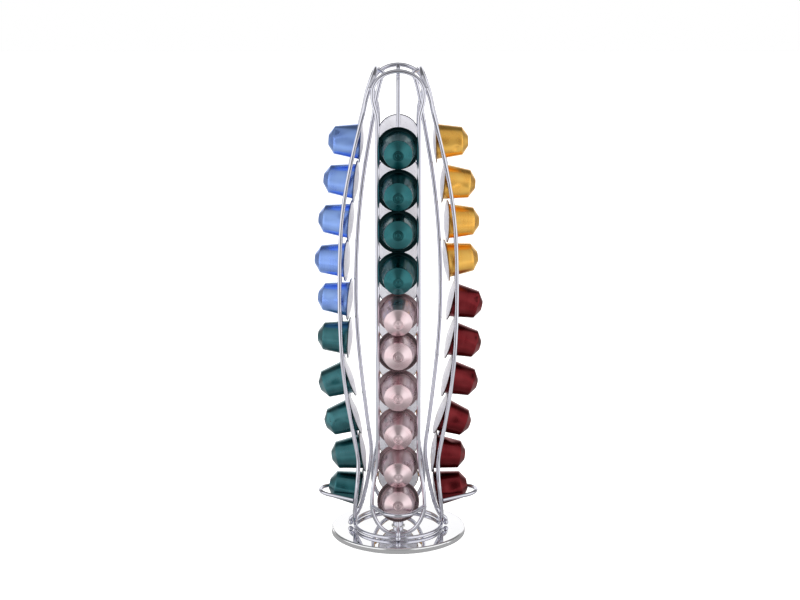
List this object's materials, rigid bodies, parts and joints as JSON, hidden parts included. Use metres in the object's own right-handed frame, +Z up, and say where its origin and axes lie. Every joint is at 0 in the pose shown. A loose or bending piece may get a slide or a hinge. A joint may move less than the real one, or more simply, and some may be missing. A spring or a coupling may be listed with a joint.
{
  "type": "rotating coffee capsule holder",
  "caption": "Rotating wire tower on a mirror disc that holds coffee capsules in four upright columns, loaded at the top and taken from trays at the foot",
  "frame": {"origin": "centre of the underside of the base, on the surface it stands on", "axes": "+Z up along the spin axis, -Y to the front column, +X to the right column"},
  "size_m": [0.1469, 0.1469, 0.4207],
  "materials": {
    "mirror_steel": "mirror-polished plated disc",
    "chrome_wire": "bright chrome plating",
    "pad_rubber": "matt anti-slip rubber",
    "bush_nylon": "natural nylon",
    "zinc_steel": "plated pivot hardware",
    "foil": "satin foil lid",
    "cup_green": "anodised, spun sheet",
    "cup_rose": "anodised, spun sheet",
    "cup_gold": "anodised, spun sheet",
    "cup_red": "anodised, spun sheet",
    "cup_blue": "anodised, spun sheet",
    "cup_teal": "anodised, spun sheet",
    "cup_navy": "anodised, spun sheet"
  },
  "bodies": {
    "base": {"base_disc": "mirror_steel", "non_slip_pad": "pad_rubber", "pivot_bush": "bush_nylon"},
    "carousel": {"hub_boss": "chrome_wire", "hub_arms": "chrome_wire", "pivot_screw": "zinc_steel", "thrust_washer": "zinc_steel", "spring_washer": "zinc_steel", "lower_ring": "chrome_wire", "corner_welds": "chrome_wire", "guide_loop_front": "chrome_wire", "back_wire_front": "chrome_wire", "outlet_tray_front": "chrome_wire", "front_capsules_green": "cup_green", "front_lids_green": "foil", "front_capsules_rose": "cup_rose", "front_lids_rose": "foil", "guide_loop_right": "chrome_wire", "back_wire_right": "chrome_wire", "outlet_tray_right": "chrome_wire", "right_capsules_gold": "cup_gold", "right_lids_gold": "foil", "right_capsules_red": "cup_red", "right_lids_red": "foil", "guide_loop_rear": "chrome_wire", "back_wire_rear": "chrome_wire", "outlet_tray_rear": "chrome_wire", "rear_capsules_navy": "cup_navy", "rear_lids_navy": "foil", "rear_capsules_gold": "cup_gold", "rear_lids_gold": "foil", "guide_loop_left": "chrome_wire", "back_wire_left": "chrome_wire", "outlet_tray_left": "chrome_wire", "left_capsules_blue": "cup_blue", "left_lids_blue": "foil", "left_capsules_teal": "cup_teal", "left_lids_teal": "foil"}
  },
  "joints": [
    {"name": "carousel_spin", "type": "hinge", "parent": "base", "child": "carousel", "pos_m": [0, 0, 0.0065], "axis": [0, 0, 1], "continuous": true}
  ]
}
